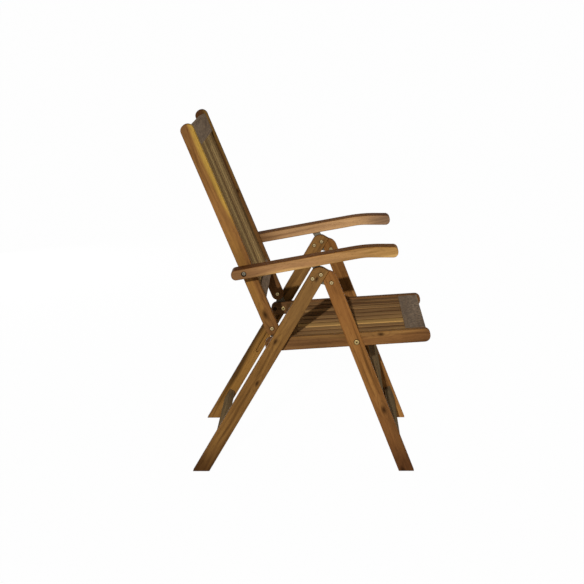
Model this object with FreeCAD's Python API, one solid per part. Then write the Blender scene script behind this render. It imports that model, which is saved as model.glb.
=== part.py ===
"""Folding garden armchair in hardwood: hinged leg frames, a sliding seat, a reclining back and notched arms.

The chair is drawn in its side plane, where each member has a frame of its own: u runs along the member,
v lies square to it and w points across the chair to the sitter's right. The front of the chair faces -Y.
"""
import math
import os

import FreeCAD
import Part

Vector = FreeCAD.Vector

# Driving dimensions of the leg frames, in millimetres and degrees
rear_leg_lean = 30.6
front_leg_lean = 21.0
leg_width = 43.0
leg_thickness = 26.0
leg_inner_half = 246.0
leg_hinge_height = 586.5
leg_fold_gap = 2.5
rear_leg_top = 26.0
rear_leg_shoulder = 26.0
front_leg_shoulder = 33.0
leg_stop_gap = 0.3

# Stretchers between the legs, measured up each leg from its foot
stretcher_thickness = 20.0
stretcher_width = 40.0
rear_stretcher_rise = 98.0
rear_stretcher_ahead = 4.0
upper_stretcher_rise = 264.0
upper_stretcher_ahead = 10.5
lower_stretcher_rise = 96.0
lower_stretcher_ahead = 5.0

# Seat
seat_pivot_drop = 195.4
seat_pivot_ahead = 4.5
seat_slide_reach = 234.0
groove_ahead = 7.5
groove_wall = 15.6
rail_height = 40.0
rail_thickness = 26.0
rail_gap = 3.0
rail_front = 221.5
rail_tail = 40.0
rail_end_roundness = 0.88
front_board_width = 62.0
front_board_setback = 11.0
rear_board_width = 43.0
rear_board_ahead = 13.0
board_thickness = 20.0
board_drop = 2.0

# Back
back_lean = 21.9
back_hinge_behind = 16.0
back_hinge_rise = 50.0
stile_width = 39.5
stile_end_roundness = 0.96
stile_length = 658.0
top_rail_width = 62.0
top_rail_margin = 16.0
bottom_rail_height = 81.0
bottom_rail_width = 43.0
back_rail_thickness = 22.0
back_rail_set_in = 5.5
fold_opening = 9.0
recline_range = 32.0
recline_positions = 5

# Slats of the seat and the back
slat_count = 9
slat_gap = 7.4
slat_thickness = 14.0
slat_set_in = 4.5
tongue_thickness = 7.0
tongue_length = 12.0

# Arms
arm_pivot_rise = 195.5
arm_pivot_behind = 5.5
arm_gap = 2.0
arm_width = 55.0
arm_thickness = 31.0
arm_tail = 38.0
arm_reach = 458.5
arm_bend = 10.5
arm_hand_length = 91.5
arm_hand_thickness = 32.3
arm_top_bend_radius = 480.0
arm_under_bend_radius = 200.0
arm_end_roundness = 0.9
arm_round_over = 5.0

# Steel hinge plates and the notched catch under each arm
plate_thickness = 4.0
plate_margin = 12.5
plate_lower_bolt_drop = 17.7
plate_lower_bolt_behind = 8.6
plate_upper_bolt_rise = 5.4
plate_upper_bolt_ahead = 6.4
catch_rise = 23.2
catch_behind = 27.5
catch_neck_half = 11.5
catch_neck_end = 6.5
catch_pin_radius = 3.5
catch_pin_length = 14.0
catch_pin_depth = 3.0
rack_sheet = 2.0
rack_side_play = 0.8
rack_web_height = 7.6
rack_notch_depth = 4.0
rack_end_margin = 18.0

# Bolts
bolt_radius = 4.0
plate_bolt_head_radius = 5.4
plate_bolt_head = 1.3
pivot_head_radius = 7.5
pivot_head = 3.0
slide_head_radius = 6.5
nut_height = 4.2
arm_head_radius = 6.5
arm_head = 4.0
arm_counterbore = 8.0
bush_wall = 2.0
socket_width = 4.5
socket_floor = 0.3
plate_bolt_behind = 28.0
blind_wall = 5.0
screw_radius = 2.0
screw_length = 9.0
screw_head_radius = 2.6
screw_head = 1.0

# Clearances and small radii
bolt_fit = 0.05
plate_play = 0.3
joint_fit = 0.1
groove_play = 1.8
groove_end_play = 1.0
tip_clearance = 0.4
washer_play = 0.2
head_play = 1.0
edge_round = 3.0
slat_round = 2.5
sharp_break = 1.0
tenon_length = 12.0
tenon_shoulder = 4.0
plate_clear = 3.0
stile_kerf_extra = 8.0
overcut = 2.0
TINY = 1e-4

pieces = {}


class Frame:
    """A member's own frame in the side plane, from its origin (forward, height) and its angle."""

    def __init__(self, origin, degrees):
        self.origin = origin
        self.angle = math.radians(degrees)

    def point(self, u, v):
        """The side-plane point (forward, height) of (u, v)."""
        cos, sin = math.cos(self.angle), math.sin(self.angle)
        return (self.origin[0] + u * cos - v * sin, self.origin[1] + u * sin + v * cos)

    def local(self, point):
        """The (u, v) of a side-plane point."""
        cos, sin = math.cos(self.angle), math.sin(self.angle)
        forward, height = point[0] - self.origin[0], point[1] - self.origin[1]
        return (forward * cos + height * sin, height * cos - forward * sin)

    def floor(self, v):
        """How far along u the line at v meets the floor."""
        return -(self.origin[1] + v * math.cos(self.angle)) / math.sin(self.angle)

    def place(self, shape):
        """A copy of a shape drawn in (u, v, w), set in the chair."""
        cos, sin = math.cos(self.angle), math.sin(self.angle)
        matrix = FreeCAD.Matrix(0, 0, -1, 0,
                                -cos, sin, 0, -self.origin[0],
                                sin, cos, 0, self.origin[1],
                                0, 0, 0, 1)
        placed = shape.copy()
        placed.Placement = FreeCAD.Placement(matrix).multiply(placed.Placement)
        return placed


# The linkage at rest, worked out from the driving dimensions

def distance(a, b):
    return math.hypot(b[0] - a[0], b[1] - a[1])


def turned(point, centre, degrees):
    """A side-plane point turned about a centre, anticlockwise with the front to the right."""
    angle = math.radians(degrees)
    forward, height = point[0] - centre[0], point[1] - centre[1]
    return (centre[0] + forward * math.cos(angle) - height * math.sin(angle),
            centre[1] + forward * math.sin(angle) + height * math.cos(angle))


def heading(a, b):
    """The direction from a to b in degrees, anticlockwise from straight forward."""
    return math.degrees(math.atan2(b[1] - a[1], b[0] - a[0]))


fold_range = rear_leg_lean + front_leg_lean
leg_hinge_ahead = leg_width + leg_fold_gap
leg_hinge = (0.0, leg_hinge_height)
front = Frame(leg_hinge, 90 + front_leg_lean)
rear = Frame(Frame(leg_hinge, 90 - rear_leg_lean).point(0, leg_hinge_ahead), 90 - rear_leg_lean)

plate_lower_bolt = (-plate_lower_bolt_drop, plate_lower_bolt_behind)
plate_upper_bolt = (plate_upper_bolt_rise, -plate_upper_bolt_ahead)
catch_point = (catch_rise, catch_behind)


def slide_point(pivot):
    """Where the slide pin lies in the rear leg's groove for a place of the seat pivot."""
    u, v = rear.local(pivot)
    return rear.point(u - math.sqrt(seat_slide_reach ** 2 - (v + groove_ahead) ** 2), -groove_ahead)


seat_pivot = front.point(-seat_pivot_drop, -seat_pivot_ahead)
slide_rest = slide_point(seat_pivot)
seat = Frame(seat_pivot, heading(slide_rest, seat_pivot))
folded_pivot = turned(seat_pivot, leg_hinge, -fold_range)
slide_folded = slide_point(folded_pivot)
seat_fold = heading(slide_folded, folded_pivot) - heading(slide_rest, seat_pivot)

back_hinge = seat.point(-seat_slide_reach - back_hinge_behind, back_hinge_rise)
back = Frame(back_hinge, 90 + back_lean)
back_fold = seat_fold + math.degrees(seat.angle) + fold_opening - (90 + back_lean)
arm_pivot = back.point(arm_pivot_rise, arm_pivot_behind)
catch = rear.point(*catch_point)
catch_drop = arm_thickness / 2 - catch_pin_depth


def arm_heading(pivot):
    """The arm's angle when the catch pin lies at its depth below the arm's centre line."""
    return heading(pivot, catch) + math.degrees(math.asin(catch_drop / distance(pivot, catch)))


arm = Frame(arm_pivot, arm_heading(arm_pivot))
arm_slope = math.degrees(arm.angle)


def notch_place(step):
    """How far along the arm the catch pin lies at one of the recline positions."""
    pivot = turned(arm_pivot, back_hinge, recline_range * step / (recline_positions - 1))
    return math.sqrt(distance(pivot, catch) ** 2 - catch_drop ** 2)


# Places across the chair, as w from the middle
leg_outer_half = leg_inner_half + leg_thickness
leg_middle = leg_inner_half + leg_thickness / 2
rail_outer = leg_inner_half - rail_gap
rail_inner = rail_outer - rail_thickness
rail_middle = rail_outer - rail_thickness / 2
arm_inner = rail_outer + arm_gap
arm_outer = arm_inner + arm_width
kerf_half = plate_thickness / 2 + plate_play
slat_width = (2 * rail_inner - slat_gap) / slat_count - slat_gap


# Building blocks

def outline(corners):
    """A closed wire through corners (u, v, radius), each rounded by a tangent arc."""
    count = len(corners)
    starts, middles, ends = [], [], []
    for index, (u, v, radius) in enumerate(corners):
        here = Vector(u, v, 0)
        behind = (Vector(corners[index - 1][0], corners[index - 1][1], 0) - here).normalize()
        following = corners[(index + 1) % count]
        ahead = (Vector(following[0], following[1], 0) - here).normalize()
        half = behind.getAngle(ahead) / 2
        run = radius / math.tan(half)
        inward = (behind + ahead).normalize()
        starts.append(here + behind * run)
        middles.append(here + inward * (radius / math.sin(half) - radius))
        ends.append(here + ahead * run)
    edges = []
    for index in range(count):
        if corners[index][2] > 0:
            edges.append(Part.Arc(starts[index], middles[index], ends[index]).toShape())
        following = starts[(index + 1) % count]
        if (following - ends[index]).Length > TINY:
            edges.append(Part.LineSegment(ends[index], following).toShape())
    return Part.Wire(edges)


def slab(wire, w_from, w_to):
    """The flat outline carried across the chair from w_from to w_to."""
    solid = Part.Face(wire).extrude(Vector(0, 0, w_to - w_from))
    solid.translate(Vector(0, 0, w_from))
    return solid


def plank(corners, w_from, w_to, round_over):
    """A timber with its two side faces' edges rounded over."""
    solid = slab(outline(corners), w_from, w_to)
    rims = [edge for edge in solid.Edges if edge.BoundBox.ZLength < TINY]
    return solid.makeFillet(round_over, rims)


def box(u_from, u_to, v_from, v_to, w_from, w_to, radius=0.0):
    """A block between six planes, its corners rounded in the side plane."""
    corners = [(u_from, v_from, radius), (u_to, v_from, radius), (u_to, v_to, radius), (u_from, v_to, radius)]
    return slab(outline(corners), w_from, w_to)


def strip(start, end, half_width, start_over, end_over, start_radius, end_radius):
    """The outline of a flat strip from one point to another, run past both and rounded at its corners."""
    along = Vector(end[0] - start[0], end[1] - start[1], 0).normalize()
    across = Vector(-along.y, along.x, 0) * half_width
    first = Vector(start[0], start[1], 0) - along * start_over
    last = Vector(end[0], end[1], 0) + along * end_over
    points = [(first - across, start_radius), (last - across, end_radius),
              (last + across, end_radius), (first + across, start_radius)]
    return outline([(point.x, point.y, radius) for point, radius in points])


def rod(point, radius, w_from, w_to):
    """A round bar across the chair."""
    return Part.makeCylinder(radius, w_to - w_from, Vector(point[0], point[1], w_from), Vector(0, 0, 1))


def head(point, radius, w_base, height):
    """A bolt head that stands from w_base by a signed height, with a rounded rim and a hexagon socket."""
    low, high = sorted((w_base, w_base + height))
    disc = rod(point, radius, low, high)
    rim = [edge for edge in disc.Edges if edge.BoundBox.ZLength < TINY
           and abs(edge.BoundBox.ZMin - (w_base + height)) < TINY]
    disc = disc.makeFillet(abs(height) / 2, rim)
    reach = socket_width / math.sqrt(3)
    corners = [(point[0] + reach * math.cos(math.radians(60 * k)),
                point[1] + reach * math.sin(math.radians(60 * k)), 0) for k in range(6)]
    top = w_base + height
    floor = w_base + height * socket_floor
    return disc.cut(slab(outline(corners), min(top, floor), max(top, floor)))


def mirrored(shape):
    """The same shape on the sitter's left."""
    return shape.mirror(Vector(0, 0, 0), Vector(0, 0, 1))


def add(name, frame, shape):
    """Sets a finished shape in the chair under its name."""
    pieces[name] = frame.place(shape)


def add_pair(name, frame, shape):
    """A right-hand piece and its left-hand mirror image, each under a name of its own."""
    add(name + "_right", frame, shape)
    add(name + "_left", frame, mirrored(shape))


def add_group(name, frame, solids):
    """Like small pieces on both sides, kept as separate solids under one name."""
    add(name, frame, Part.makeCompound(solids + [mirrored(solid) for solid in solids]))


# Boards that run across the chair and are tenoned into the timbers at their ends

def cross_board(u_from, u_to, v_from, v_to, reach, radius):
    """A board from side to side with a tenon on each end."""
    board = box(u_from, u_to, v_from, v_to, -reach, reach, radius)
    half = reach + tenon_length
    tenon = box(u_from + tenon_shoulder, u_to - tenon_shoulder,
                v_from + tenon_shoulder, v_to - tenon_shoulder, -half, half)
    return board.fuse(tenon).removeSplitter()


def mortise(u_from, u_to, v_from, v_to, face, inward):
    """The hole for one tenon, cut from a face at w in the direction of inward."""
    depth = face + inward * (tenon_length + joint_fit)
    shoulder = tenon_shoulder - joint_fit
    return box(u_from + shoulder, u_to - shoulder, v_from + shoulder, v_to - shoulder,
               min(face, depth), max(face, depth))


def stretcher_limits(frame, rise, ahead):
    """The section of a stretcher across its leg: u and v limits."""
    middle = frame.floor(0) + rise
    return (middle - stretcher_width / 2, middle + stretcher_width / 2,
            -ahead - stretcher_thickness / 2, -ahead + stretcher_thickness / 2)


# Rear legs

half_leg = leg_width / 2
rear_stretcher = stretcher_limits(rear, rear_stretcher_rise, rear_stretcher_ahead)
upper_stretcher = stretcher_limits(front, upper_stretcher_rise, upper_stretcher_ahead)
lower_stretcher = stretcher_limits(front, lower_stretcher_rise, lower_stretcher_ahead)
slide_top = rear.local(slide_rest)[0] + groove_end_play
slide_bottom = rear.local(slide_folded)[0] - groove_end_play
slide_pin_depth = leg_thickness - groove_wall - head_play
groove_depth = slide_pin_depth + head_play


def rear_leg():
    """A rear leg: shouldered top with a kerf for the hinge plate, and a blind groove for the slide pin."""
    leg = plank([(rear.floor(-half_leg), -half_leg, 0),
                 (rear_leg_top, -half_leg, 0),
                 (rear_leg_top, half_leg, rear_leg_shoulder),
                 (rear.floor(half_leg), half_leg, 0)],
                leg_inner_half, leg_outer_half, edge_round)
    kerf_floor = plate_lower_bolt[0] - plate_margin - plate_clear
    kerf = box(kerf_floor, rear_leg_top + overcut, -half_leg - overcut, half_leg + overcut,
               leg_middle - kerf_half, leg_middle + kerf_half)
    groove_half = bolt_radius + groove_play
    groove = slab(strip((slide_bottom, -groove_ahead), (slide_top, -groove_ahead), groove_half, groove_half,
                        groove_half, groove_half, groove_half),
                  leg_inner_half - overcut, leg_inner_half + groove_depth)
    holes = [rod(point, bolt_radius + bolt_fit, leg_inner_half - overcut, leg_outer_half + overcut)
             for point in (plate_lower_bolt, plate_upper_bolt)]
    return leg.cut([kerf, groove, mortise(*rear_stretcher, leg_inner_half, 1)] + holes)


def leg_hinge_plate():
    """The steel plate let into both leg tops, with a neck that carries the catch pin up into the arm."""
    hinge = (0, -leg_hinge_ahead)
    low, high = leg_middle - plate_thickness / 2, leg_middle + plate_thickness / 2
    body = slab(strip(plate_lower_bolt, hinge, plate_margin, plate_margin, plate_margin,
                      plate_margin, plate_margin), low, high)
    neck = slab(strip(plate_upper_bolt, catch_point, catch_neck_half, catch_neck_half, catch_neck_end,
                      catch_neck_half, catch_neck_end), low, high)
    fits = [(plate_lower_bolt, bolt_radius), (plate_upper_bolt, bolt_radius), (hinge, bolt_radius),
            (catch_point, catch_pin_radius)]
    holes = [rod(point, radius + bolt_fit, low - overcut, high + overcut) for point, radius in fits]
    return body.fuse(neck).removeSplitter().cut(holes)


def through_bolt(point, w_inner, w_outer):
    """A bolt through a timber with a low head on each face."""
    shank = rod(point, bolt_radius, w_inner, w_outer)
    return shank.fuse([head(point, plate_bolt_head_radius, w_outer, plate_bolt_head),
                       head(point, plate_bolt_head_radius, w_inner, -plate_bolt_head)]).removeSplitter()


add_pair("rear_leg", rear, rear_leg())
add("rear_stretcher", rear, cross_board(*rear_stretcher, leg_inner_half, edge_round))
add_pair("leg_hinge_plate", rear, leg_hinge_plate())
add_group("leg_plate_bolts", rear, [through_bolt(point, leg_inner_half, leg_outer_half)
                                    for point in (plate_lower_bolt, plate_upper_bolt)])
add_group("arm_catch_pins", rear, [rod(catch_point, catch_pin_radius, leg_middle - catch_pin_length / 2,
                                       leg_middle + catch_pin_length / 2)])


# Front legs

def front_leg():
    """A front leg: a flat at its top meets the rear leg when open, and its heel turns clear of the hinge."""
    stop = leg_hinge_ahead - half_leg - leg_stop_gap
    tilt = math.radians(90 - fold_range)
    heel = math.asin(half_leg / stop)
    turns = [tilt, (tilt + heel) / 2, heel]
    flat_low, heel_middle, heel_end = [Vector(stop * math.cos(a), stop * math.sin(a), 0) for a in turns]
    peak_u, peak_v = front.local(rear.point(rear_leg_top, -half_leg - leg_stop_gap))
    rise = peak_v + half_leg
    shoulder_run = math.sqrt(2 * front_leg_shoulder * rise - rise ** 2)
    shoulder = Vector(peak_u - shoulder_run, -half_leg, 0)
    sweep = math.acos(1 - rise / front_leg_shoulder) / 2
    middle = Vector(shoulder.x + front_leg_shoulder * math.sin(sweep),
                    -half_leg + front_leg_shoulder * (1 - math.cos(sweep)), 0)
    peak = Vector(peak_u, peak_v, 0)
    points = [heel_end, Vector(front.floor(half_leg), half_leg, 0),
              Vector(front.floor(-half_leg), -half_leg, 0), shoulder]
    edges = [Part.LineSegment(peak, flat_low).toShape(), Part.Arc(flat_low, heel_middle, heel_end).toShape()]
    edges += [Part.LineSegment(a, b).toShape() for a, b in zip(points, points[1:])]
    edges.append(Part.Arc(shoulder, middle, peak).toShape())
    leg = slab(Part.Wire(edges), leg_inner_half, leg_outer_half)
    rims = [edge for edge in leg.Edges if edge.BoundBox.ZLength < TINY]
    leg = leg.makeFillet(edge_round, rims)
    kerf = box(-2 * plate_margin - plate_clear, peak_u + overcut, -half_leg - overcut, half_leg + overcut,
               leg_middle - kerf_half, leg_middle + kerf_half)
    holes = [rod(point, bolt_radius + bolt_fit, leg_inner_half - overcut, leg_outer_half + overcut)
             for point in ((0, 0), (-seat_pivot_drop, -seat_pivot_ahead))]
    mortises = [mortise(*limits, leg_inner_half, 1) for limits in (upper_stretcher, lower_stretcher)]
    return leg.cut([kerf] + mortises + holes)


def seat_pivot_bolt():
    """The large-headed bolt from the front leg's outer face through the seat rail."""
    point = (-seat_pivot_drop, -seat_pivot_ahead)
    shank = rod(point, bolt_radius, rail_inner - washer_play - nut_height / 2, leg_outer_half)
    return shank.fuse(head(point, pivot_head_radius, leg_outer_half, pivot_head)).removeSplitter()


def ring(point, inner, outer, w_from, w_to):
    """A flat washer across the chair."""
    return rod(point, outer, w_from, w_to).cut(rod(point, inner, w_from - overcut, w_to + overcut))


def nut(point, w_top):
    """A domed nut on the end of a bolt, below w_top."""
    body = rod(point, slide_head_radius, w_top - nut_height, w_top)
    rim = [edge for edge in body.Edges if edge.BoundBox.ZLength < TINY
           and abs(edge.BoundBox.ZMin - (w_top - nut_height)) < TINY]
    body = body.makeFillet(nut_height / 3, rim)
    return body.cut(rod(point, bolt_radius + bolt_fit, w_top - nut_height / 2 - bolt_fit, w_top + overcut))


pivot_in_leg = (-seat_pivot_drop, -seat_pivot_ahead)
add_pair("front_leg", front, front_leg())
add("front_upper_stretcher", front, cross_board(*upper_stretcher, leg_inner_half, edge_round))
add("front_lower_stretcher", front, cross_board(*lower_stretcher, leg_inner_half, edge_round))
add_group("leg_hinge_bolts", front, [through_bolt((0, 0), leg_inner_half, leg_outer_half)])
add_group("seat_pivot_bolts", front, [seat_pivot_bolt()])
add_group("seat_pivot_nuts", front, [nut(pivot_in_leg, rail_inner - washer_play)])
add_group("seat_pivot_washers", front, [ring(pivot_in_leg, bolt_radius + bolt_fit, pivot_head_radius,
                                             rail_outer + washer_play, leg_inner_half)])

# Seat

half_rail = rail_height / 2
slide_in_rail = (-seat_slide_reach, 0)
plate_bolt_in_rail = (-seat_slide_reach - plate_bolt_behind, 0)
hinge_in_seat = (-seat_slide_reach - back_hinge_behind, back_hinge_rise)
board_top = half_rail - board_drop
front_board = (rail_front - front_board_setback - front_board_width, rail_front - front_board_setback,
               board_top - board_thickness, board_top)
rear_board = (-seat_slide_reach + rear_board_ahead, -seat_slide_reach + rear_board_ahead + rear_board_width,
              board_top - board_thickness, board_top)


def seat_rail():
    """A seat side rail with round ends, kerfed at the rear for the back's hinge plate."""
    rear_end = -seat_slide_reach - rail_tail
    radius = half_rail * rail_end_roundness
    rail = plank([(rear_end, -half_rail, radius), (rail_front, -half_rail, radius),
                  (rail_front, half_rail, radius), (rear_end, half_rail, radius)],
                 rail_inner, rail_outer, edge_round)
    kerf = box(rear_end - overcut, -seat_slide_reach + plate_margin + plate_clear,
               -plate_margin - plate_clear, half_rail + overcut,
               rail_middle - kerf_half, rail_middle + kerf_half)
    through, blind = rail_inner - overcut, rail_inner + blind_wall
    holes = [rod(point, bolt_radius + bolt_fit, start, rail_outer + overcut)
             for point, start in (((0, 0), through), (slide_in_rail, through), (plate_bolt_in_rail, blind))]
    mortises = [mortise(*limits, rail_inner, 1) for limits in (front_board, rear_board)]
    return rail.cut([kerf] + mortises + holes)


def slat_groove(u_from, u_to, v_low, v_high):
    """The groove along a board's edge that takes the slats' tongues."""
    return box(u_from, u_to, v_low - joint_fit, v_high + joint_fit, -rail_inner + tenon_shoulder,
               rail_inner - tenon_shoulder)


def slat(u_from, u_to, v_low, v_high, index):
    """One slat between two boards, with a tongue on each end, counted from the sitter's left."""
    w_from = -rail_inner + slat_gap + index * (slat_width + slat_gap)
    w_to = w_from + slat_width
    body = plank([(u_from + joint_fit, v_low, 0), (u_to - joint_fit, v_low, 0),
                  (u_to - joint_fit, v_high, 0), (u_from + joint_fit, v_high, 0)], w_from, w_to, slat_round)
    middle = (v_low + v_high) / 2
    tongue = box(u_from - tongue_length, u_to + tongue_length, middle - tongue_thickness / 2,
                 middle + tongue_thickness / 2, w_from + slat_round, w_to - slat_round)
    return body.fuse(tongue).removeSplitter()


def grooved_board(limits, groove_from, groove_to, slat_middle):
    """A cross board of the seat or the back with its slat groove."""
    board = cross_board(*limits, rail_inner, edge_round)
    half = tongue_thickness / 2
    return board.cut(slat_groove(groove_from, groove_to, slat_middle - half, slat_middle + half))


def back_hinge_plate():
    """The steel plate that joins a seat rail to the foot of a back stile."""
    low, high = rail_middle - plate_thickness / 2, rail_middle + plate_thickness / 2
    lower = slab(strip(plate_bolt_in_rail, slide_in_rail, plate_margin, plate_margin / 2, plate_margin,
                       plate_margin / 2, plate_margin), low, high)
    upper = slab(strip(slide_in_rail, hinge_in_seat, plate_margin, plate_margin / 2, plate_margin,
                       plate_margin / 2, plate_margin), low, high)
    holes = [rod(point, bolt_radius + bolt_fit, low - overcut, high + overcut)
             for point in (plate_bolt_in_rail, slide_in_rail, hinge_in_seat)]
    return lower.fuse(upper).removeSplitter().cut(holes)


def blind_bolt(point):
    """A low-headed bolt from a rail's outer face that stops short of its inner face."""
    shank = rod(point, bolt_radius, rail_inner + blind_wall, rail_outer)
    return shank.fuse(head(point, plate_bolt_head_radius, rail_outer, plate_bolt_head)).removeSplitter()


def slide_pin():
    """The bolt through a seat rail whose end slides in the rear leg's groove."""
    shank = rod(slide_in_rail, bolt_radius, rail_inner, leg_inner_half + slide_pin_depth)
    return shank.fuse(head(slide_in_rail, slide_head_radius, rail_inner, -pivot_head)).removeSplitter()


seat_slat_middle = board_top - sharp_break - slat_thickness / 2
seat_slat_limits = (seat_slat_middle - slat_thickness / 2, seat_slat_middle + slat_thickness / 2)
groove_reach = tongue_length + joint_fit
add_pair("seat_rail", seat, seat_rail())
add("seat_front_board", seat, grooved_board(front_board, front_board[0] - overcut,
                                            front_board[0] + groove_reach, seat_slat_middle))
add("seat_rear_board", seat, grooved_board(rear_board, rear_board[1] - groove_reach,
                                           rear_board[1] + overcut, seat_slat_middle))
for number in range(slat_count):
    add(f"seat_slat_{number + 1}", seat, slat(rear_board[1], front_board[0], *seat_slat_limits, number))
add_pair("back_hinge_plate", seat, back_hinge_plate())
add_group("seat_slide_pins", seat, [slide_pin()])
add_group("back_plate_bolts", seat, [blind_bolt(plate_bolt_in_rail)])
add_group("back_hinge_bolts", back, [through_bolt((0, 0), rail_inner, rail_outer)])

# Back

half_stile = stile_width / 2
rail_front_v = -half_stile + back_rail_set_in
rail_limits = (rail_front_v, rail_front_v + back_rail_thickness)
top_rail = (stile_length - top_rail_margin - top_rail_width, stile_length - top_rail_margin) + rail_limits
bottom_rail = (bottom_rail_height, bottom_rail_height + bottom_rail_width) + rail_limits
back_slat_limits = (rail_front_v + slat_set_in, rail_front_v + slat_set_in + slat_thickness)
back_slat_middle = rail_front_v + slat_set_in + slat_thickness / 2


def back_stile():
    """An upright of the back: round ends, a kerf at the foot and a bore for the arm's bolt."""
    radius = half_stile * stile_end_roundness
    stile = plank([(-half_stile, -half_stile, radius), (stile_length, -half_stile, radius),
                   (stile_length, half_stile, radius), (-half_stile, half_stile, radius)],
                  rail_inner, rail_outer, edge_round)
    kerf = box(-half_stile - overcut, plate_margin + stile_kerf_extra, -half_stile - overcut,
               half_stile + overcut, rail_middle - kerf_half, rail_middle + kerf_half)
    holes = [rod(point, bolt_radius + bolt_fit, rail_inner - overcut, rail_outer + overcut)
             for point in ((0, 0), (arm_pivot_rise, arm_pivot_behind))]
    mortises = [mortise(*limits, rail_inner, 1) for limits in (top_rail, bottom_rail)]
    return stile.cut([kerf] + mortises + holes)


add_pair("back_stile", back, back_stile())
add("back_top_rail", back, grooved_board(top_rail, top_rail[0] - overcut, top_rail[0] + groove_reach,
                                         back_slat_middle))
add("back_bottom_rail", back, grooved_board(bottom_rail, bottom_rail[1] - groove_reach,
                                            bottom_rail[1] + overcut, back_slat_middle))
for number in range(slat_count):
    add(f"back_slat_{number + 1}", back, slat(bottom_rail[1], top_rail[0], *back_slat_limits, number))

# Arms

half_arm = arm_thickness / 2
half_hand = arm_hand_thickness / 2
arm_floor = arm_outer - arm_counterbore
bush_radius = bolt_radius + bolt_fit + bush_wall
tip_line = -catch_drop + catch_pin_radius + tip_clearance
rack_roof = tip_line + rack_web_height + rack_sheet
rack_inner_half = plate_thickness / 2 + rack_side_play
rack_outer_half = rack_inner_half + rack_sheet
rack_start = notch_place(0) - rack_end_margin
rack_end = notch_place(recline_positions - 1) + rack_end_margin
rack_groove_half = catch_pin_length / 2 + head_play
screw_places = [(notch_place(step) + notch_place(step + 1)) / 2 for step in (0, recline_positions - 2)]


def armrest():
    """An arm: straight from its round tail, level at the hand, grooved below for the catch."""
    cos, sin = math.cos(math.radians(arm_bend)), math.sin(math.radians(arm_bend))
    top_bend = arm_reach - arm_hand_length
    under_bend = top_bend - (arm_hand_thickness - arm_thickness * cos) / sin
    under_run = (arm_reach - under_bend) * cos - half_arm * sin
    top_run = arm_hand_length * cos + half_arm * sin
    tail_radius, hand_radius = half_arm * arm_end_roundness, half_hand * arm_end_roundness
    solid = plank([(-arm_tail, -half_arm, tail_radius),
                   (under_bend, -half_arm, arm_under_bend_radius),
                   (under_bend + under_run * cos, -half_arm - under_run * sin, hand_radius),
                   (top_bend + top_run * cos, half_arm - top_run * sin, hand_radius),
                   (top_bend, half_arm, arm_top_bend_radius),
                   (-arm_tail, half_arm, tail_radius)],
                  arm_inner, arm_outer, arm_round_over)
    groove = box(rack_start - joint_fit, rack_end + joint_fit, -half_arm - overcut, rack_roof,
                 leg_middle - rack_groove_half, leg_middle + rack_groove_half)
    bore = rod((0, 0), bush_radius + bolt_fit, arm_inner - overcut, arm_outer)
    counterbore = rod((0, 0), arm_head_radius + head_play, arm_floor, arm_outer + overcut)
    screws = [Part.makeCylinder(screw_radius + bolt_fit, screw_length + joint_fit,
                                Vector(place, rack_roof, leg_middle), Vector(0, 1, 0))
              for place in screw_places]
    return solid.cut([groove, bore, counterbore] + screws)


def arm_rack():
    """The folded steel track in an arm's groove, with a row of notches in each flange."""
    low, high = leg_middle - rack_outer_half, leg_middle + rack_outer_half
    channel = box(rack_start, rack_end, tip_line, rack_roof, low, high)
    hollow = box(rack_start - overcut, rack_end + overcut, tip_line - overcut, rack_roof - rack_sheet,
                 leg_middle - rack_inner_half, leg_middle + rack_inner_half)
    notch_radius = catch_pin_radius + joint_fit
    notches = [rod((notch_place(step), tip_line + rack_notch_depth - notch_radius), notch_radius,
                   low - overcut, high + overcut) for step in range(recline_positions)]
    holes = [Part.makeCylinder(screw_radius + bolt_fit, 2 * overcut + rack_sheet,
                               Vector(place, rack_roof - rack_sheet - overcut, leg_middle), Vector(0, 1, 0))
             for place in screw_places]
    return channel.cut([hollow] + notches + holes)


def rack_screw(place):
    """A pan-headed screw through the track's web into the arm."""
    seat_v = rack_roof - rack_sheet
    shank = Part.makeCylinder(screw_radius, rack_sheet + screw_length, Vector(place, seat_v, leg_middle),
                              Vector(0, 1, 0))
    pan = Part.makeCylinder(screw_head_radius, screw_head, Vector(place, seat_v - screw_head, leg_middle),
                            Vector(0, 1, 0))
    return shank.fuse(pan).removeSplitter()


def arm_bolt():
    """The arm's bolt: its head sunk in the arm's outer face, its end in a nut inside the stile."""
    shank = rod((0, 0), bolt_radius, rail_inner - washer_play - nut_height / 2, arm_floor + washer_play)
    return shank.fuse(head((0, 0), arm_head_radius, arm_floor + washer_play, arm_head)).removeSplitter()


def arm_bush():
    """The flanged bush that an arm turns on, its flange the washer between arm and stile."""
    sleeve = rod((0, 0), bush_radius, rail_outer + washer_play, arm_floor)
    flange = rod((0, 0), 2 * bush_radius, rail_outer + washer_play, arm_inner - washer_play)
    return sleeve.fuse(flange).removeSplitter().cut(
        rod((0, 0), bolt_radius + bolt_fit, rail_outer - overcut, arm_outer))


add_pair("armrest", arm, armrest())
add_pair("arm_rack", arm, arm_rack())
add_pair("arm_rack_screws", arm, Part.makeCompound([rack_screw(place) for place in screw_places]))
add_pair("arm_bolt", arm, arm_bolt())
add_pair("arm_nut", arm, nut((0, 0), rail_inner - washer_play))
add_pair("arm_bush", arm, arm_bush())

# The finished chair, set with the middle of its box over the origin and its feet on the floor
whole = Part.makeCompound(list(pieces.values())).optimalBoundingBox(False)
shift = Vector(-(whole.XMin + whole.XMax) / 2, -(whole.YMin + whole.YMax) / 2, -whole.ZMin)
os.makedirs("parts", exist_ok=True)
for name, shape in pieces.items():
    shape.translate(shift)
    shape.exportStep(f"parts/{name}.step")

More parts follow.
